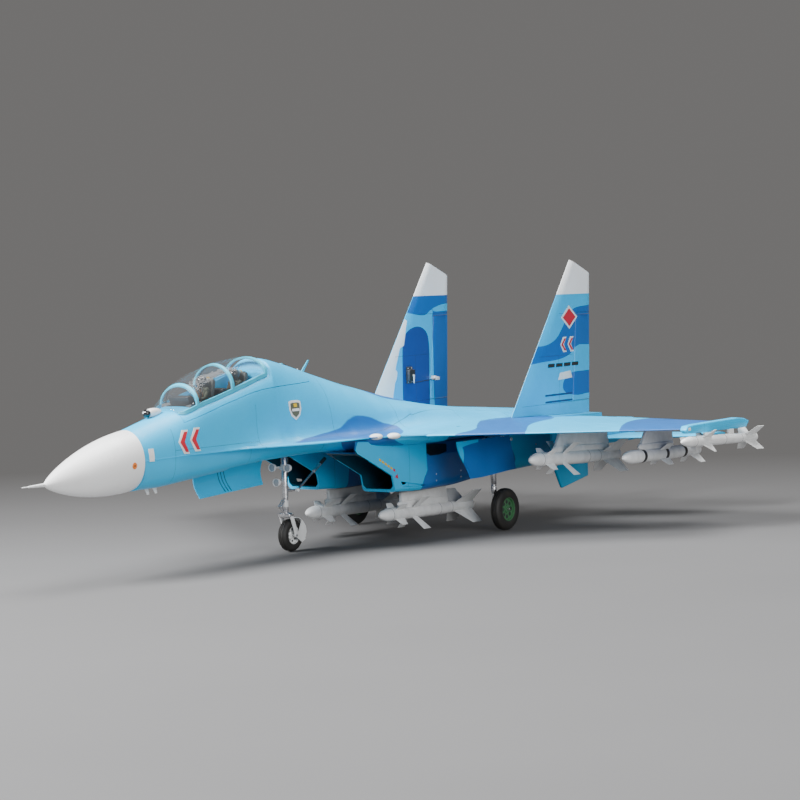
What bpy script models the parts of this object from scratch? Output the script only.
"""A 1:12 scale radio-controlled twin ducted-fan jet on its wheels.

Frame: metres, +X to port, -Y towards the nose, +Z up, origin on the ground under the middle of the plane's box.
Stations ("s") are distances aft of the nose cone's tip, and at() turns them into the frame.
"""

import math

import bmesh
import bpy
from mathutils import Matrix, Vector

# Whole plane
MID_STATION = 0.884
GAP = 0.0003
PORT, STARBOARD = 1, -1
SIDES = (("left", PORT), ("right", STARBOARD))

# Fuselage: station, top z, bottom z, hump half width, keel half width, edge half width, edge z, hump squareness
STATIONS = (
    (0.226, 0.273, 0.161, 0.0460, 0.0460, 0.0465, 0.217, 2.0),
    (0.300, 0.290, 0.162, 0.0490, 0.0490, 0.0495, 0.218, 2.2),
    (0.345, 0.300, 0.165, 0.0520, 0.0495, 0.0525, 0.219, 3.0),
    (0.400, 0.312, 0.169, 0.0560, 0.0490, 0.0570, 0.219, 5.2),
    (0.485, 0.331, 0.175, 0.0600, 0.0480, 0.0660, 0.219, 5.2),
    (0.567, 0.352, 0.180, 0.0630, 0.0470, 0.0950, 0.219, 5.0),
    (0.598, 0.361, 0.182, 0.0640, 0.0470, 0.1080, 0.219, 4.6),
    (0.612, 0.384, 0.182, 0.0650, 0.0470, 0.1140, 0.219, 3.0),
    (0.673, 0.373, 0.184, 0.0720, 0.0480, 0.1350, 0.219, 2.5),
    (0.765, 0.349, 0.188, 0.0820, 0.0600, 0.1430, 0.219, 2.2),
    (0.800, 0.339, 0.190, 0.0880, 0.1300, 0.1480, 0.219, 2.2),
    (0.866, 0.321, 0.190, 0.0980, 0.1600, 0.1800, 0.219, 2.2),
    (0.905, 0.312, 0.190, 0.1030, 0.1750, 0.2125, 0.219, 2.2),
    (0.995, 0.290, 0.190, 0.1200, 0.1850, 0.2125, 0.218, 2.2),
    (1.108, 0.268, 0.190, 0.1350, 0.1850, 0.2125, 0.217, 2.2),
    (1.255, 0.250, 0.190, 0.1450, 0.1850, 0.2125, 0.215, 2.2),
    (1.300, 0.246, 0.190, 0.1500, 0.1850, 0.2125, 0.214, 2.2),
    (1.408, 0.238, 0.190, 0.1550, 0.1850, 0.2125, 0.211, 2.2),
    (1.560, 0.226, 0.190, 0.1600, 0.1850, 0.2125, 0.207, 2.2),
)
FORWARD_END, MID_END, REAR_END = 0.760, 1.300, 1.560
LOWER_POWER = 2.6
ARC_STEPS = 5
SKIN_EDGE = 0.003
ROOT_THICKNESS = 0.026

# Nose cone and probe
CONE_LENGTH = 0.226
CONE_TIP_Z, CONE_BASE_Z = 0.192, 0.217
PROBE_LENGTH, PROBE_RADIUS = 0.057, 0.0032

# Hatch over the battery and cockpit: its seam in side view, station and z
HATCH_SEAM = ((0.345, 0.279), (0.480, 0.311), (0.580, 0.328), (0.727, 0.333))
HATCH_TOP = 0.45
COCKPIT = ((-0.036, 0.375), (0.036, 0.590))
COCKPIT_FLOOR = ((0.375, 0.2975), (0.590, 0.3135))
# station, half width, rise over the sill
CANOPY = (
    (0.340, 0.026, 0.007),
    (0.350, 0.036, 0.018),
    (0.362, 0.040, 0.028),
    (0.386, 0.044, 0.042),
    (0.440, 0.046, 0.052),
    (0.491, 0.047, 0.051),
    (0.550, 0.048, 0.044),
    (0.596, 0.048, 0.034),
)
GLASS_WALL = 0.0016

# Nacelles and ducts
NACELLE_X = 0.092
NACELLE_TOP = 0.190 - GAP
NACELLE_HALF = 0.0395
# station, bottom z, roundness of the lower corners
NACELLE = (
    (0.760, 0.104, 0.0),
    (0.892, 0.104, 0.0),
    (1.000, 0.098, 0.3),
    (1.100, 0.098, 0.6),
    (1.250, 0.106, 1.0),
    (1.400, 0.110, 1.0),
    (1.560 - GAP, 0.116, 1.0),
)
NACELLE_LIP = ((0.892, 0.05), (0.892, 0.106), (0.884, 0.137), (0.767, 0.190))
FAN_STATION, FAN_LENGTH = 1.160, 0.060
FAN_Z, FAN_BORE, FAN_WALL = 0.148, 0.0350, 0.0015
DUCT_END_Z, DUCT_END_RADIUS, DUCT_STEPS = 0.170, 0.0335, 24
NOZZLE_END, NOZZLE_RADIUS, NOZZLE_END_RADIUS = 1.690, 0.048, 0.036

# Wings
ROOT_X, TIP_X = 0.2130, 0.592
ROOT_LE, TIP_LE, WING_TE = 0.888, 1.258, 1.468
ROOT_Z, TIP_Z = 0.2175, 0.2100
WING_PROFILE = ((0.0, 0.05), (0.06, 0.42), (0.22, 0.84), (0.42, 1.0), (0.70, 0.66), (0.86, 0.36), (1.0, 0.07))
TIP_THICKNESS = 0.009
RAIL_UNDER = 0.1995
FLAPERON_HINGE, FLAPERON_INNER, FLAPERON_OUTER = 1.392, 0.224, 0.440
HINGE_GAP = 0.0012

# Fins (outlines as station, z), stabilators (outline as x, station)
FIN_X, FIN_THICKNESS = 0.183, 0.010
FIN = ((1.246, 0.2289), (1.489, 0.548), (1.568, 0.516), (1.555, 0.2207))
RUDDER_HINGE = ((1.488, 0.250), (1.508, 0.431))
VENTRAL = ((1.392, 0.1932), (1.392, 0.128), (1.430, 0.067), (1.537, 0.085), (1.537, 0.1915))
VENTRAL_X, VENTRAL_THICKNESS = 0.186, 0.007
BEAM = ((0.163, 0.2115), (1.540, 1.705), (0.150, 0.200))
STABILATOR = ((0.214, 1.524), (0.412, 1.660), (0.412, 1.742), (0.214, 1.700))
STABILATOR_Z, STABILATOR_THICKNESS = 0.165, 0.008

# Nose gear: it folds forward into its bay
NOSE_LEG_S, NOSE_PIVOT_Z = 0.705, 0.205
NOSE_AXLE_S, NOSE_WHEEL_RADIUS, NOSE_WHEEL_WIDTH = 0.719, 0.032, 0.020
NOSE_BAY = ((-0.034, 0.034), (0.488, 0.757), (0.100, 0.247))
BATTERY_FLOOR = 0.250
LAMPS = ((0.0185, 0.166), (-0.0185, 0.166), (-0.009, 0.137))
BRACE_X, BRACE_LOW, BRACE_HIGH = 0.0135, (0.728, 0.120), (0.824, 0.176)
NOSE_DOOR_X, NOSE_DOOR_HINGE, NOSE_DOOR_DEPTH = -0.036, ((0.465, 0.171), (0.682, 0.1815)), 0.048

# Main gear: it folds forward while its leg turns, so that the wheel lies flat in the wing root
MAIN_LEG_X, MAIN_PIVOT_S, MAIN_PIVOT_Z = 0.163, 1.203, 0.188
MAIN_WHEEL_X, MAIN_WHEEL_RADIUS, MAIN_WHEEL_WIDTH = 0.189, 0.0436, 0.022
MAIN_BAY = ((0.113, 0.2105), (1.010, 1.222), (0.150, 0.2275))
MAIN_DOOR_HINGE, MAIN_DOOR_FLARE = (0.2145, 0.198), 12.0
# station at the hinge, station at the lower edge, depth
MAIN_DOOR = ((0.990, 1.014, 0.077), (1.040, 1.050, 0.077), (1.186, 1.186, 0.070))
AXLE_CLEARANCE = 0.00006
WHEEL_STEPS = 28

# Stores: side x, nose (station, z), tail (station, z), radius, kind
STORES = (
    ("belly_missile", 0.090, (0.894, 0.055), (1.223, 0.049), 0.0135, "finned"),
    ("inner_missile", 0.330, (1.080, 0.157), (1.421, 0.143), 0.0140, "finned"),
    ("outer_missile", 0.470, (1.207, 0.154), (1.511, 0.149), 0.0135, "banded"),
    ("wingtip_missile", 0.604, (1.207, 0.1880), (1.513, 0.1770), 0.0105, "slim"),
)
# For each kind, four-fin sets: part of the length, root chord, span, sweep of the tip, tip chord
FIN_SETS = {
    "finned": ((0.12, 0.038, 0.016, 0.014, 0.018), (0.31, 0.018, 0.033, 0.008, 0.026),
               (0.77, 0.070, 0.034, 0.036, 0.034)),
    "banded": ((0.42, 0.046, 0.018, 0.018, 0.022), (0.84, 0.040, 0.022, 0.020, 0.020)),
    "slim": ((0.22, 0.044, 0.0205, 0.030, 0.008), (0.81, 0.050, 0.023, 0.026, 0.030)),
}


def at(x, s, z):
    """A point of the frame from its side, its station and its height."""
    return Vector((x, s - MID_STATION, z))


def paint(name, colour, roughness, metallic=0.0, alpha=1.0):
    material = bpy.data.materials.new(name)
    material.use_nodes = True
    shader = material.node_tree.nodes["Principled BSDF"]
    shader.inputs["Base Color"].default_value = (*colour, 1.0)
    shader.inputs["Roughness"].default_value = roughness
    shader.inputs["Metallic"].default_value = metallic
    shader.inputs["Alpha"].default_value = alpha
    return material


def add_mesh(name, vertices, faces, material=None):
    mesh = bpy.data.meshes.new(name)
    mesh.from_pydata([tuple(v) for v in vertices], [], faces)
    built = bmesh.new()
    built.from_mesh(mesh)
    bmesh.ops.remove_doubles(built, verts=built.verts, dist=1e-6)
    bmesh.ops.recalc_face_normals(built, faces=built.faces)
    built.to_mesh(mesh)
    built.free()
    obj = bpy.data.objects.new(name, mesh)
    bpy.context.scene.collection.objects.link(obj)
    if material:
        mesh.materials.append(material)
    return obj


def loft(name, rings, material=None):
    """A closed solid through rings of the same number of points."""
    count = len(rings[0])
    vertices = [point for ring in rings for point in ring]
    faces = [tuple(range(count)), tuple(range(len(vertices) - count, len(vertices)))]
    for r in range(len(rings) - 1):
        for k in range(count):
            after = (k + 1) % count
            faces.append((r * count + k, r * count + after, (r + 1) * count + after, (r + 1) * count + k))
    return add_mesh(name, vertices, faces, material)


def box(name, xs, stations, zs, material=None):
    corners = [(xs[0], zs[0]), (xs[1], zs[0]), (xs[1], zs[1]), (xs[0], zs[1])]
    return loft(name, [[at(x, s, z) for x, z in corners] for s in stations], material)


def side_prism(name, outline, xs, material=None):
    """An outline of (station, z) points, extruded from one x to another."""
    return loft(name, [[at(x, s, z) for s, z in outline] for x in xs], material)


def turned(name, profile, start, direction, steps, material=None):
    """Rings of (distance along, radius) around an axis; a profile of four corners makes a tube."""
    direction = Vector(direction).normalized()
    across = direction.orthogonal().normalized()
    other = direction.cross(across)
    rings = []
    for along, radius in profile:
        centre = Vector(start) + direction * along
        angles = [math.tau * k / steps for k in range(steps)]
        rings.append([centre + (across * math.cos(a) + other * math.sin(a)) * radius for a in angles])
    return loft(name, rings, material)


def tube(name, profile, start, direction, steps, material=None, phase=0.0):
    """A ring-shaped solid: the profile of (distance along, radius) closes on itself."""
    direction = Vector(direction).normalized()
    across = direction.orthogonal().normalized()
    other = direction.cross(across)
    vertices = []
    faces = []
    count = len(profile)
    for k in range(steps):
        angle = math.tau * (k + phase) / steps
        out = across * math.cos(angle) + other * math.sin(angle)
        vertices += [Vector(start) + direction * along + out * radius for along, radius in profile]
    for k in range(steps):
        here, there = k * count, (k + 1) % steps * count
        for p in range(count):
            q = (p + 1) % count
            faces.append((here + p, here + q, there + q, there + p))
    return add_mesh(name, vertices, faces, material)


def rod(name, start, end, radius, steps=12, material=None):
    start, end = Vector(start), Vector(end)
    return turned(name, ((0, radius), ((end - start).length, radius)), start, end - start, steps, material)


def boolean(obj, other, operation):
    """Cut other from obj, join it on, or keep what they share; other becomes a hidden helper."""
    modifier = obj.modifiers.new(other.name, "BOOLEAN")
    modifier.operation = operation
    modifier.object = other
    modifier.solver = "EXACT"
    other.hide_render = True
    other.display_type = "WIRE"


def cut(obj, *cutters):
    for cutter in cutters:
        boolean(obj, cutter, "DIFFERENCE")


def join(obj, *others):
    for other in others:
        boolean(obj, other, "UNION")


def smooth(obj, degrees=40):
    obj.data.shade_smooth()
    obj.data.set_sharp_from_angle(angle=math.radians(degrees))


def between(table, s):
    """The table's row at station s, worked out along straight lines between its rows."""
    for low, high in zip(table, table[1:]):
        if s <= high[0]:
            part = max(0.0, (s - low[0]) / (high[0] - low[0]))
            return [a + (b - a) * part for a, b in zip(low, high)]
    return list(table[-1])


def body_ring(s):
    """The fuselage's cross-section: a hump over a thin edge, and a keel below it."""
    _, top, bottom, hump, keel, edge, edge_z, power = between(STATIONS, s)
    root = min(1.0, max(0.0, (edge - 0.14) / 0.06))
    half_edge = SKIN_EDGE / 2 + root * (ROOT_THICKNESS - SKIN_EDGE) / 2
    over, under = edge_z + half_edge, edge_z - half_edge
    right = [(0.0, top)]
    for k in range(1, ARC_STEPS + 1):
        angle = math.radians(90 * k / ARC_STEPS)
        x = hump * math.sin(angle) ** (2 / power)
        rise = max(0.0, math.cos(angle)) ** (2 / power)
        right.append((x, over + (top - over) * rise + 0.0004))
    right.append((edge, over))
    right.append((edge, under))
    for k in range(ARC_STEPS, 0, -1):
        angle = math.radians(90 * k / ARC_STEPS)
        x = keel * math.sin(angle) ** (2 / LOWER_POWER)
        z = under - (under - bottom) * max(0.0, math.cos(angle)) ** (2 / LOWER_POWER)
        right.append((min(x, edge - 0.0003), z - 0.0004))
    right.append((0.0, bottom - 0.0004))
    left = [(-x, z) for x, z in reversed(right[1:-1])]
    return [at(x, s, z) for x, z in right + left]


def hump_height(x, s):
    """The height of the hump's surface at side x."""
    _, top, _, hump, _, edge, edge_z, power = between(STATIONS, s)
    over = edge_z + SKIN_EDGE / 2
    sine = min(1.0, x / hump) ** (power / 2)
    return over + (top - over) * math.sqrt(1 - sine * sine) ** (2 / power)


def body(name, start, end, material):
    inner = [row[0] for row in STATIONS if start + 0.002 < row[0] < end - 0.002]
    obj = loft(name, [body_ring(s) for s in [start, *inner, end]], material)
    smooth(obj)
    return obj


def make_nose(materials):
    rings = []
    for k in range(1, 12):
        part = (k / 11) ** 1.6
        width = 0.0465 * math.sin(part * math.pi / 2) ** 0.72
        height = 0.056 * math.sin(part * math.pi / 2) ** 0.72
        centre = CONE_TIP_Z + (CONE_BASE_Z - CONE_TIP_Z) * part
        station = (CONE_LENGTH - GAP) * part
        angles = [math.tau * n / 20 for n in range(20)]
        rings.append([at(width * math.sin(a), station, centre + height * math.cos(a)) for a in angles])
    smooth(loft("nose_cone", rings, materials["white"]))
    tip = at(0, rings[0][0].y + MID_STATION - GAP, CONE_TIP_Z)
    probe = [(0, PROBE_RADIUS), (0.030, 0.0022), (0.045, 0.0012), (PROBE_LENGTH + tip.y + MID_STATION, 0.0008)]
    smooth(turned("pitot_probe", probe, tip, (0, -1, 0), 12, materials["white"]))


def hatch_cutter(name, shift):
    """The space above the seam in side view; shift moves its boundary into (+) or out of (-) that space."""
    (first, low), (last, high) = HATCH_SEAM[0], HATCH_SEAM[-1]
    outline = [(s, z + shift) for s, z in HATCH_SEAM]
    outline[0] = (first + shift, low + shift)
    outline[-1] = (last - shift, high + shift)
    outline += [(last - shift, HATCH_TOP), (first + shift, HATCH_TOP)]
    return side_prism(name, outline, (-0.2, 0.2))


def make_forward(materials):
    forward = body("forward_fuselage", 0.226 + GAP, FORWARD_END - GAP, materials["sky"])
    battery_bay = box("battery_bay_cut", (-0.031, 0.031), (0.400, 0.700), (BATTERY_FLOOR, 0.4))
    nose_bay = box("nose_bay_cut", *NOSE_BAY[:2], NOSE_BAY[2])
    cut(forward, hatch_cutter("hatch_space", 0), battery_bay, nose_bay)
    hatch = body("canopy_hatch", 0.3453, 0.7267, materials["sky"])
    boolean(hatch, hatch_cutter("hatch_keep", GAP), "INTERSECT")
    (xa, sa), (xb, sb) = COCKPIT
    floor = [(sa, COCKPIT_FLOOR[0][1]), (sb, COCKPIT_FLOOR[1][1]), (sb, 0.5), (sa, 0.5)]
    cut(hatch, side_prism("cockpit_cut", floor, (xa, xb)))
    cut(forward, side_prism("cockpit_clearance", floor, (xa, xb)))


def arch(s, base, half, rise, steps=8):
    """A half hoop of the canopy: points from its port foot over its top to its starboard foot."""
    points = []
    for k in range(steps + 1):
        angle = math.pi * k / steps
        points.append(at(half * math.cos(angle), s, base + rise * math.sin(angle)))
    return points


def make_canopy(materials):
    """A clear shell over the cockpit, open below, standing on the hatch's sill."""
    outer, inner = [], []
    for s, half, rise in CANOPY:
        foot = hump_height(half, s) + 0.0028
        outer.append(arch(s, foot, half, rise))
        inner.append(arch(s, foot, half - GLASS_WALL, rise - GLASS_WALL))
    columns = len(outer[0])
    rows = len(outer)
    vertices = [p for ring in outer + inner for p in ring]
    faces = []
    shift = rows * columns
    for r in range(rows - 1):
        for c in range(columns - 1):
            a, b = r * columns + c, (r + 1) * columns + c
            faces.append((a, a + 1, b + 1, b))
            faces.append((a + shift, b + shift, b + 1 + shift, a + 1 + shift))
        for c in (0, columns - 1):
            a, b = r * columns + c, (r + 1) * columns + c
            faces.append((a, b, b + shift, a + shift))
    for r in (0, rows - 1):
        for c in range(columns - 1):
            a = r * columns + c
            faces.append((a, a + 1, a + 1 + shift, a + shift))
    smooth(add_mesh("canopy_glass", vertices, faces, materials["glass"]))


def make_crew(materials):
    (xa, sa), (xb, sb) = COCKPIT
    slope = (COCKPIT_FLOOR[1][1] - COCKPIT_FLOOR[0][1]) / (sb - sa)

    def floor_z(s):
        return COCKPIT_FLOOR[0][1] + slope * (s - sa) + GAP

    outline = [(sa + 0.002, floor_z(sa + 0.002)), (sb - 0.002, floor_z(sb - 0.002))]
    outline += [(sb - 0.002, floor_z(sb) + 0.004), (sa + 0.002, floor_z(sa) + 0.004)]
    tub = side_prism("cockpit_tub", outline, (xa + GAP, xb - GAP), materials["dark"])
    for number, s in enumerate((0.452, 0.553)):
        low = floor_z(s) + 0.002
        seat = [(s - 0.024, low), (s + 0.006, low), (s + 0.020, low + 0.052), (s + 0.010, low + 0.052)]
        seat += [(s - 0.004, low + 0.0058), (s - 0.024, low + 0.0050)]
        join(tub, side_prism(f"seat_{number}", seat, (-0.014, 0.014)))
        name = ("front_pilot", "rear_pilot")[number]
        chest = floor_z(s) + 0.0085
        rings = []
        for rise, wide, deep, back in (
            (0.000, 0.011, 0.007, -0.014),
            (0.020, 0.014, 0.007, -0.010),
            (0.026, 0.006, 0.004, -0.007),
            (0.031, 0.009, 0.009, -0.008),
            (0.040, 0.011, 0.012, -0.007),
            (0.048, 0.008, 0.009, -0.006),
            (0.051, 0.003, 0.003, -0.006),
        ):
            angles = [math.tau * k / 10 for k in range(10)]
            ring = [at(wide * math.cos(a), s + back + deep * math.sin(a), chest + rise) for a in angles]
            rings.append(ring)
        smooth(loft(name, rings, materials["pilot"]))


def duct(name, side):
    """The air path as a solid: a raked box mouth that turns into a round bore, on to the rear end."""
    x = side * NACELLE_X

    def ring(s, half_x, low, high, roundness):
        points = []
        for k in range(DUCT_STEPS):
            angle = math.tau * (k + 0.5) / DUCT_STEPS
            c, v = math.cos(angle), math.sin(angle)
            square = max(abs(c), abs(v)) * 1.02
            scale = roundness + (1 - roundness) / square
            z = (low + high) / 2 + (high - low) / 2 * v * scale
            points.append(at(x + half_x * c * scale, s, z))
        return points

    corner = 1 / math.cos(math.pi / DUCT_STEPS)
    r = (FAN_BORE + FAN_WALL + GAP) * corner
    end = DUCT_END_RADIUS * corner
    rings = [
        ring(0.700, 0.037, 0.109, 0.186, 0.0),
        ring(0.930, 0.036, 0.109, 0.186, 0.0),
        ring(1.050, r, FAN_Z - r, FAN_Z + r, 0.8),
        ring(1.120, r, FAN_Z - r, FAN_Z + r, 1.0),
        ring(1.250, r, FAN_Z - r, FAN_Z + r, 1.0),
        ring(1.545, end, DUCT_END_Z - end, DUCT_END_Z + end, 1.0),
        ring(1.800, end, DUCT_END_Z - end, DUCT_END_Z + end, 1.0),
    ]
    return loft(name, rings)


def make_mid(materials):
    mid = body("mid_fuselage", FORWARD_END + GAP, MID_END - GAP, materials["sky"])
    rear = body("rear_fuselage", MID_END + GAP, REAR_END - GAP, materials["sky"])
    for name, side in SIDES:
        xs = sorted(side * x for x in MAIN_BAY[0])
        cut(mid, box(f"{name}_bay_cut", xs, MAIN_BAY[1], MAIN_BAY[2]))
        cut(mid, duct(f"{name}_mid_duct_cut", side))
        hump = turned(f"{name}_hump", ((0, 0.030), (0.10, 0.055), (REAR_END - GAP - 1.40, 0.057)),
                      at(side * NACELLE_X, 1.40, 0.172), (0, 1, 0), 16)
        above = box(f"{name}_above", (-0.3, 0.3), (1.39, 1.57), (0.195, 0.3))
        boolean(hump, above, "INTERSECT")
        join(rear, hump)
        beam = box(f"{name}_beam", sorted(side * x for x in BEAM[0]), BEAM[1], BEAM[2])
        join(rear, beam)
        cut(rear, duct(f"{name}_rear_duct_cut", side))
    stinger = [(0.0, 0.034, 0.010), (0.10, 0.030, 0.012), (0.20, 0.018, 0.010), (0.2645, 0.006, 0.005)]
    rings = []
    for along, half, tall in stinger:
        angles = [math.tau * k / 12 for k in range(12)]
        centre = 0.205
        ring = [at(half * math.cos(a), REAR_END + GAP + along, centre + tall * math.sin(a)) for a in angles]
        rings.append(ring)
    smooth(loft("tail_stinger", rings, materials["gunmetal"]))


def make_nacelle(name, side, materials):
    """A box section with round lower corners, cut by the raked mouth, the duct and the wheel's way up."""
    rings = []
    high, wall = NACELLE_TOP, NACELLE_HALF
    for s, low, roundness in NACELLE:
        corner = 0.012 + 0.020 * roundness
        section = [(-wall, high), (wall, high), (wall, low + corner)]
        section += [(wall - corner * 0.3, low + corner * 0.3), (wall - corner, low)]
        section += [(-wall + corner, low), (-wall + corner * 0.3, low + corner * 0.3), (-wall, low + corner)]
        rings.append([at(side * NACELLE_X + dx, s, z) for dx, z in section])
    nacelle = loft(name, rings, materials["sky"])
    ahead = [(0.60, 0.25), (0.60, 0.05), *NACELLE_LIP, (NACELLE_LIP[-1][0], 0.25)]
    cut(nacelle, side_prism(f"{name}_lip_cut", ahead, (-0.2, 0.2)), duct(f"{name}_duct_cut", side))
    shoulder = [(0.112, 0.1925), (0.135, 0.163), (0.150, 0.163), (0.150, 0.1925)]
    stations = (MAIN_BAY[1][0] - 0.005, MAIN_BAY[1][1] + 0.003)
    cut(nacelle, loft(f"{name}_shoulder_cut", [[at(side * x, s, z) for x, z in shoulder] for s in stations]))
    smooth(nacelle, 30)


def make_power(name, side, materials):
    """Fan housing with its stator vanes and motor pod, the rotor in it, and the exhaust nozzle."""
    centre = at(side * NACELLE_X, FAN_STATION, FAN_Z)
    aft = (0, 1, 0)
    bore, outside = FAN_BORE, FAN_BORE + FAN_WALL
    wall = [(0, bore), (FAN_LENGTH, bore), (FAN_LENGTH, outside), (0, outside)]
    housing = tube(f"{name}_fan_housing", wall, centre, aft, 24, materials["dark"])
    pod = turned(f"{name}_motor_pod", ((0.022, 0.014), (0.050, 0.014), (0.085, 0.006)), centre, aft, 16)
    join(housing, pod)
    for k in range(4):
        angle = math.tau * (k + 0.5) / 4
        vane = box(f"{name}_vane_{k}", (-0.001, 0.001), (FAN_STATION + 0.028, FAN_STATION + 0.048),
                   (0.010, FAN_BORE + 0.0007))
        turn = Matrix.Rotation(angle, 4, "Y")
        vane.data.transform(Matrix.Translation(at(side * NACELLE_X, MID_STATION, FAN_Z)) @ turn)
        join(housing, vane)
    hub = [(-0.006, 0.002), (-0.004, 0.007), (0.003, 0.0125), (0.020, 0.0125)]
    rotor = turned(f"{name}_fan_rotor", hub, centre, aft, 16, materials["gunmetal"])
    for k in range(8):
        blade = box(f"{name}_blade_{k}", (-0.0008, 0.0008), (-0.008, 0.008), (0.010, FAN_BORE - 0.0009))
        blade.data.transform(Matrix.Translation((0, MID_STATION, 0)))
        pitch = Matrix.Rotation(math.radians(side * 35), 4, "Z")
        turn = Matrix.Rotation(math.tau * k / 8, 4, "Y")
        place = Matrix.Translation(at(side * NACELLE_X, FAN_STATION + 0.010, FAN_Z))
        blade.data.transform(place @ turn @ pitch)
        join(rotor, blade)
    length = NOZZLE_END - REAR_END - GAP
    inner = DUCT_END_RADIUS
    wall = [(0, inner), (length, inner - 0.002), (length, NOZZLE_END_RADIUS), (length * 0.55, 0.044),
            (0, NOZZLE_RADIUS)]
    start = at(side * NACELLE_X, REAR_END + GAP, DUCT_END_Z)
    smooth(tube(f"{name}_exhaust_nozzle", wall, start, aft, 24, materials["gunmetal"]))


def make_stores_inside(materials):
    low = BATTERY_FLOOR + GAP
    box("battery_pack", (-0.026, 0.026), (0.470, 0.640), (low, low + 0.046), materials["dark"])
    box("speed_controller", (-0.022, 0.022), (0.402, 0.462), (low, low + 0.020), materials["dark"])


def wing_at(x):
    part = (x - ROOT_X) / (TIP_X - ROOT_X)
    leading = ROOT_LE + (TIP_LE - ROOT_LE) * part
    z = ROOT_Z + (TIP_Z - ROOT_Z) * part
    thick = ROOT_THICKNESS + (TIP_THICKNESS - ROOT_THICKNESS) * part
    return leading, z, thick


def wing_ring(side, x):
    leading, z, thick = wing_at(x)
    chord = WING_TE - leading
    over = [at(side * x, leading + chord * c, z + thick / 2 * t) for c, t in WING_PROFILE]
    under = [at(side * x, leading + chord * c, z - thick / 2 * t * 0.8) for c, t in reversed(WING_PROFILE)]
    return over + under


def wing_thickness_at(x, s):
    leading, z, thick = wing_at(x)
    part = (s - leading) / (WING_TE - leading)
    return z, thick * between(WING_PROFILE, part)[1]


def make_wing(name, side, materials):
    wing = loft(f"{name}_wing", [wing_ring(side, x) for x in (ROOT_X, 0.33, 0.46, TIP_X)], materials["sky"])
    smooth(wing, 30)
    rail = [(1.236, 0.2035), (1.226, 0.2095), (1.232, 0.2185), (1.440, 0.2215), (1.490, 0.2125), (1.476, 0.1995)]
    join(wing, side_prism(f"{name}_rail", rail, sorted(side * x for x in (0.589, 0.606))))
    gap_xs = sorted(side * x for x in (FLAPERON_INNER - 0.001, FLAPERON_OUTER + 0.001))
    front = FLAPERON_HINGE - 0.0062
    cut(wing, box(f"{name}_flaperon_gap", gap_xs, (front, 1.6), (0.15, 0.30)))
    rings = []
    for x in (FLAPERON_INNER, FLAPERON_OUTER):
        z, thick = wing_thickness_at(x, FLAPERON_HINGE)
        radius = thick / 2 * 0.9
        middle = z + thick * 0.05
        nose = [(FLAPERON_HINGE - radius * math.sin(math.radians(a)), middle + radius * math.cos(math.radians(a)))
                for a in (0, 30, 60, 90, 120, 150, 180)]
        points = [(WING_TE, middle + 0.0008), *nose, (WING_TE, middle - 0.0008)]
        rings.append([at(side * x, s, height) for s, height in points])
    smooth(loft(f"{name}_flaperon", rings, materials["sky"]), 30)


def plate(name, outline, middle, thickness, material):
    """A flat surface across X with the outline (station, z)."""
    return side_prism(name, outline, (middle - thickness / 2, middle + thickness / 2), material)


def make_tail(name, side, materials):
    fin = plate(f"{name}_fin", FIN, side * FIN_X, FIN_THICKNESS, materials["blue"])
    (low_s, low_z), (high_s, high_z) = RUDDER_HINGE
    slope = (high_s - low_s) / (high_z - low_z)
    radius = FIN_THICKNESS / 2
    back = radius + HINGE_GAP
    space = [(low_s - back - slope * 0.001, low_z - 0.001), (1.7, low_z - 0.001), (1.7, high_z + 0.001),
             (high_s - back + slope * 0.001, high_z + 0.001)]
    cut(fin, side_prism(f"{name}_rudder_space", space, sorted((side * 0.1, side * 0.3))))
    base_s, base_z = FIN[3]
    tip_s, tip_z = FIN[2]
    rings = []
    for s, z in RUDDER_HINGE:
        trailing = base_s + (tip_s - base_s) * (z - base_z) / (tip_z - base_z)
        ring = [at(side * FIN_X + radius * math.cos(math.radians(a)), s - radius * math.sin(math.radians(a)), z)
                for a in (0, 30, 60, 90, 120, 150, 180)]
        ring += [at(side * FIN_X - 0.001, trailing, z), at(side * FIN_X + 0.001, trailing, z)]
        rings.append(ring)
    smooth(loft(f"{name}_rudder", rings, materials["blue"]), 30)
    plate(f"{name}_ventral_fin", VENTRAL, side * VENTRAL_X, VENTRAL_THICKNESS, materials["sky"])
    half = STABILATOR_THICKNESS / 2
    outline = [(side * x, s) for x, s in STABILATOR]
    rings = [[at(x, s, STABILATOR_Z + dz) for x, s in outline] for dz in (-half, half)]
    loft(f"{name}_stabilator", rings, materials["sky"])


def add_rods(obj, name, rods, steps=10):
    """Join rods of (start, end, radius) onto an object."""
    for number, (start, end, radius) in enumerate(rods):
        join(obj, rod(f"{name}_rod_{number}", at(*start), at(*end), radius, steps))


def wheel(name, x, s, z, radius, width, bore, material):
    """A tyre with a dished rim, bored for its axle, standing on a facet."""
    half = width / 2
    radius /= math.cos(math.pi / WHEEL_STEPS)
    rim = radius * 0.55
    profile = [(-half * 0.6, bore), (half * 0.6, bore), (half * 0.6, rim * 0.45), (half * 0.35, rim * 0.9)]
    profile += [(half * 0.85, rim), (half, radius * 0.82), (half * 0.62, radius * 0.96), (0, radius)]
    profile += [(-half * 0.62, radius * 0.96), (-half, radius * 0.82), (-half * 0.85, rim)]
    profile += [(-half * 0.35, rim * 0.9), (-half * 0.6, rim * 0.45)]
    smooth(tube(name, profile, at(x, s, z), (1, 0, 0), WHEEL_STEPS, material, 0.5))


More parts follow.
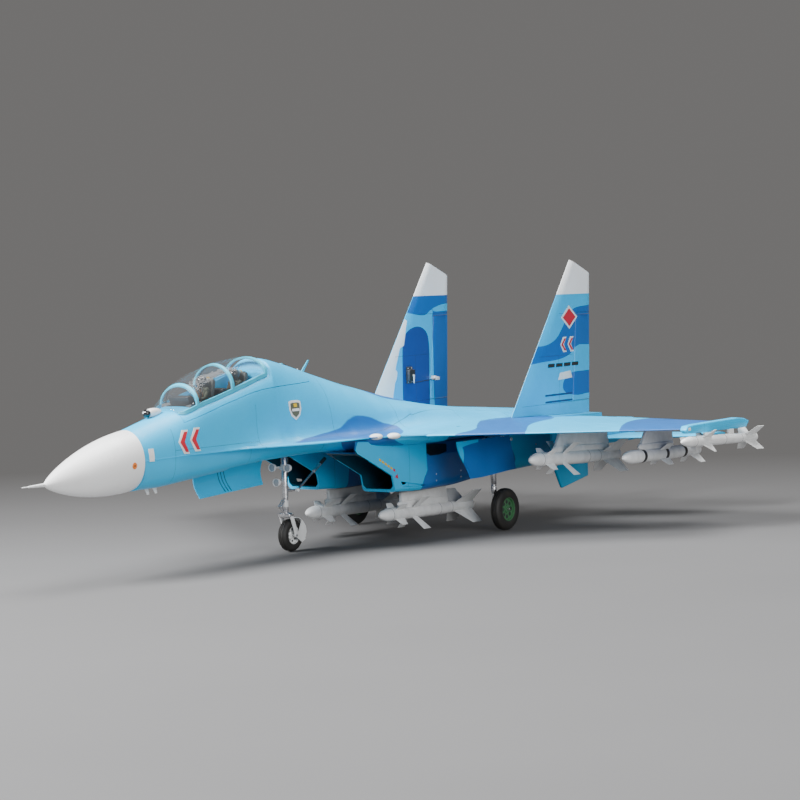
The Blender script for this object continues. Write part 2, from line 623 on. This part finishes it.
def make_nose_gear(materials):
    s, pivot, axle_s, axle_z = NOSE_LEG_S, NOSE_PIVOT_Z, NOSE_AXLE_S, NOSE_WHEEL_RADIUS
    strut = rod("nose_strut", at(0, s, 0.105), at(0, s, pivot), 0.0065, 14, materials["metal"])
    pieces = [((-0.030, s, pivot), (0.030, s, pivot), 0.004)]
    pieces += [((0, s, z), (x, s - 0.008, z), 0.0025) for x, z in LAMPS]
    pieces += [((x, s - 0.005, z), (x, s - 0.017, z), 0.008) for x, z in LAMPS]
    low_s, low_z = BRACE_LOW
    pieces.append(((0, s, low_z), (0.007, low_s, low_z), 0.0025))
    add_rods(strut, "nose_strut", pieces, 12)
    fork = rod("nose_fork", at(0, s, 0.0747), at(0, s, 0.1047), 0.0060, 14, materials["white"])
    inner = NOSE_WHEEL_WIDTH / 2 + 0.0015
    for side in (PORT, STARBOARD):
        xs = sorted((side * inner, side * (inner + 0.003)))
        arm = [(s - 0.0055, 0.0713), (s + 0.007, 0.0713), (axle_s + 0.005, axle_z + 0.003),
               (axle_s + 0.003, axle_z - 0.004), (axle_s - 0.004, axle_z - 0.003)]
        join(fork, side_prism(f"nose_fork_arm_{side}", arm, xs))
    crown = [(s - 0.008, 0.0675), (s + 0.009, 0.0675), (s + 0.009, 0.0772), (s - 0.008, 0.0772)]
    join(fork, side_prism("nose_fork_crown", crown, (-inner - 0.0036, inner + 0.0036)))
    reach = inner + 0.005
    add_rods(fork, "nose_fork", [((-reach, axle_s, axle_z), (reach, axle_s, axle_z), 0.0025)], 12)
    guard = []
    for radius in (0.0360, 0.0345):
        angles = range(10, 80, 15) if radius > 0.035 else range(70, -1, -15)
        for a in angles:
            angle = math.radians(a)
            guard.append((axle_s + radius * math.cos(angle), axle_z + radius * math.sin(angle)))
    join(fork, side_prism("nose_guard", guard, (-inner + 0.0007, inner + 0.0012)))
    stay = [(axle_s, axle_z - 0.003), (axle_s + 0.035, axle_z + 0.008), (axle_s + 0.035, axle_z + 0.013),
            (axle_s, axle_z + 0.003)]
    join(fork, side_prism("nose_guard_stay", stay, (inner + 0.0004, inner + 0.0024)))
    wheel("nose_wheel", 0, axle_s, axle_z, NOSE_WHEEL_RADIUS, NOSE_WHEEL_WIDTH, 0.0025 + AXLE_CLEARANCE,
          materials["tyre"])
    high_s, high_z = BRACE_HIGH
    brace = rod("nose_drag_brace", at(BRACE_X, low_s, low_z), at(BRACE_X, high_s, high_z), 0.0022, 10,
                materials["metal"])
    start = Vector((0, low_s, low_z))
    run = Vector((0, high_s - low_s, high_z - low_z))
    sleeve = start + run * 0.55
    add_rods(brace, "nose_brace", [((BRACE_X, sleeve.y, sleeve.z), (BRACE_X, high_s, high_z), 0.0038),
                                   ((0.0095, low_s, low_z), (0.0165, low_s, low_z), 0.0035)])
    (front_s, front_z), (back_s, back_z) = NOSE_DOOR_HINGE
    x = NOSE_DOOR_X
    lean = 0.006
    rings = []
    for hinge_s, hinge_z, low in ((front_s, front_z, front_s + 0.019), (back_s, back_z, back_s)):
        depth = NOSE_DOOR_DEPTH
        rings.append([at(x - 0.0008, hinge_s, hinge_z), at(x + 0.0008, hinge_s, hinge_z),
                      at(x - lean + 0.0008, (hinge_s + low) / 2, hinge_z - depth / 2),
                      at(x + 0.0008, low, hinge_z - depth), at(x - 0.0008, low, hinge_z - depth),
                      at(x - lean - 0.0008, (hinge_s + low) / 2, hinge_z - depth / 2)])
    smooth(loft("nose_gear_door", rings, materials["sky"]))
    retract = box("nose_retract_unit", (-0.022, 0.022), (0.716, 0.752), (0.226, 0.2465), materials["dark"])
    ears = [(0.700, 0.2115), (0.752, 0.2115), (0.752, 0.240), (0.700, 0.240)]
    for side in (PORT, STARBOARD):
        xs = sorted((side * 0.020, side * 0.024))
        join(retract, side_prism(f"nose_retract_ear_{side}", ears, xs))


def make_main_gear(name, side, materials):
    x, s, pivot = side * MAIN_LEG_X, MAIN_PIVOT_S, MAIN_PIVOT_Z
    axle_z = MAIN_WHEEL_RADIUS
    wheel_x = side * MAIN_WHEEL_X
    trunnion = rod(f"{name}_main_trunnion", at(x, s, 0.150), at(x, s, pivot + 0.004), 0.0080, 14,
                   materials["metal"])
    add_rods(trunnion, f"{name}_trunnion", [((side * 0.1430, s, pivot), (side * 0.2100, s, pivot), 0.0038)])
    wall = [(0, 0.0043), (0.0747, 0.0043), (0.0747, 0.0062), (0, 0.0062)]
    smooth(tube(f"{name}_main_leg", wall, at(x, s, 0.075), (0, 0, 1), 16, materials["metal"]))
    axle = rod(f"{name}_main_axle", at(x, s, axle_z - 0.005), at(x, s, 0.128), 0.0040, 16, materials["metal"])
    end = wheel_x + side * (MAIN_WHEEL_WIDTH / 2 + 0.002)
    add_rods(axle, f"{name}_axle", [((x, s, axle_z), (end, s, axle_z), 0.0030)], 16)
    wheel(f"{name}_main_wheel", wheel_x, s, axle_z, MAIN_WHEEL_RADIUS, MAIN_WHEEL_WIDTH,
          0.0030 + AXLE_CLEARANCE, materials["tyre"])
    hinge_x, hinge_z = MAIN_DOOR_HINGE
    flare = math.radians(MAIN_DOOR_FLARE)
    rings = []
    for top_s, low_s, depth in MAIN_DOOR:
        bottom_x, bottom_z = hinge_x + depth * math.sin(flare), hinge_z - depth * math.cos(flare)
        section = ((hinge_x - 0.0008, top_s, hinge_z), (hinge_x + 0.0008, top_s, hinge_z),
                   (bottom_x + 0.0008, low_s, bottom_z), (bottom_x - 0.0008, low_s, bottom_z))
        rings.append([at(side * out, station, z) for out, station, z in section])
    loft(f"{name}_main_gear_door", rings, materials["sky"])


def under_wing(x, s):
    """The lowest point of the wing's underside around x at station s."""
    heights = []
    for near in (x - 0.004, x + 0.004):
        z, thick = wing_thickness_at(near, s)
        heights.append(z - thick * 0.8 / 2)
    return min(heights) - GAP


def make_store(name, side, row, materials):
    kind_name, x, (nose_s, nose_z), (tail_s, tail_z), radius, kind = row
    x = side * x
    start = at(x, nose_s, nose_z)
    run = at(x, tail_s, tail_z) - start
    length = run.length
    direction = run.normalized()
    slender = {"finned": 1.0, "banded": 0.9, "slim": 0.8}[kind]
    profile = [(0, 0.12), (0.006, 0.45 * slender), (0.018, 0.80 * slender), (0.036, 1.0), (length * 0.6, 1.0),
               (length, 0.80)]
    obj = turned(f"{name}_{kind_name}", [(a, r * radius) for a, r in profile], start, direction, 14,
                 materials["white"])
    tilt = direction.to_track_quat("Y", "Z").to_matrix().to_4x4()
    for number, (part, chord, span, sweep, tip) in enumerate(FIN_SETS[kind]):
        for k in range(4):
            base = radius * 0.5
            outline = [(0, base), (chord, base), (sweep + tip, radius + span), (sweep, radius + span)]
            rings = [[Vector((thick, along, out)) for along, out in outline] for thick in (-0.0007, 0.0007)]
            fin = loft(f"{name}_{kind_name}_fin_{number}_{k}", rings)
            roll = Matrix.Rotation(math.radians(45 + 90 * k), 4, "Y")
            place = Matrix.Translation(start + direction * (length * part))
            fin.data.transform(place @ tilt @ roll)
            join(obj, fin)
    low = (nose_z + tail_z) / 2
    if kind == "slim":
        for station in (1.30, 1.40):
            after = station + 0.020
            hanger = [(station, low), (after, low), (after, RAIL_UNDER), (station, RAIL_UNDER)]
            join(obj, side_prism(f"{name}_{kind_name}_hanger_{station}", hanger, (x - 0.003, x + 0.003)))
        return
    if kind_name == "belly_missile":
        front, back = 0.970, 1.130
        top = [(front, 0.0965), (back, 0.0965)]
    else:
        front = nose_s + length * (0.28 if kind == "finned" else 0.24)
        back = min(front + 0.20, 1.40)
        stations = [front + 0.02 + (back - front - 0.02) * k / 3 for k in range(4)]
        top = [(s, under_wing(abs(x), s)) for s in stations]
    outline = [(front, low), (front, (low + top[0][1]) / 2), *top, (back + 0.01, low)]
    join(obj, side_prism(f"{name}_{kind_name}_pylon", outline, (x - 0.004, x + 0.004)))


def make_sensor(materials):
    ball = at(-0.004, 0.295, 0.2985)
    profile = [(-0.0078, 0.001), (-0.0068, 0.0038), (-0.004, 0.0067), (0, 0.0078), (0.0033, 0.0070)]
    smooth(turned("sensor_ball", profile, ball, (0, 1, 0), 16, materials["black"]))
    after = Vector((0, 1, 0.06))
    fairing = turned("sensor_fairing", [(0.0, 0.0074), (0.012, 0.0084), (0.026, 0.0066), (0.037, 0.002)],
                     ball + Vector((0, 0.0046, 0)), after, 16, materials["white"])
    cut(fairing, body("sensor_seat_cut", 0.226, 0.345, None))
    cut(bpy.data.objects["sensor_ball"], body("ball_seat_cut", 0.226, 0.345, None))


def main():
    for old in list(bpy.data.objects):
        bpy.data.objects.remove(old, do_unlink=True)
    materials = {
        "sky": paint("sky_paint", (0.16, 0.62, 0.80), 0.45),
        "blue": paint("blue_paint", (0.07, 0.32, 0.62), 0.45),
        "white": paint("white_paint", (0.90, 0.90, 0.90), 0.4),
        "glass": paint("clear_canopy", (0.85, 0.88, 0.90), 0.05, 0.0, 0.3),
        "dark": paint("dark_plastic", (0.04, 0.04, 0.045), 0.5),
        "black": paint("black_gloss", (0.01, 0.01, 0.01), 0.1),
        "pilot": paint("pilot_paint", (0.30, 0.32, 0.25), 0.6),
        "gunmetal": paint("gunmetal_paint", (0.12, 0.10, 0.09), 0.5, 0.6),
        "metal": paint("bright_metal", (0.75, 0.75, 0.76), 0.3, 1.0),
        "tyre": paint("tyre_rubber", (0.03, 0.03, 0.03), 0.8),
    }
    make_nose(materials)
    make_forward(materials)
    make_canopy(materials)
    make_crew(materials)
    make_mid(materials)
    make_stores_inside(materials)
    make_nose_gear(materials)
    make_sensor(materials)
    for name, side in SIDES:
        make_nacelle(f"{name}_nacelle", side, materials)
        make_power(name, side, materials)
        make_wing(name, side, materials)
        make_tail(name, side, materials)
        make_main_gear(name, side, materials)
        for row in STORES:
            make_store(name, side, row, materials)


main()
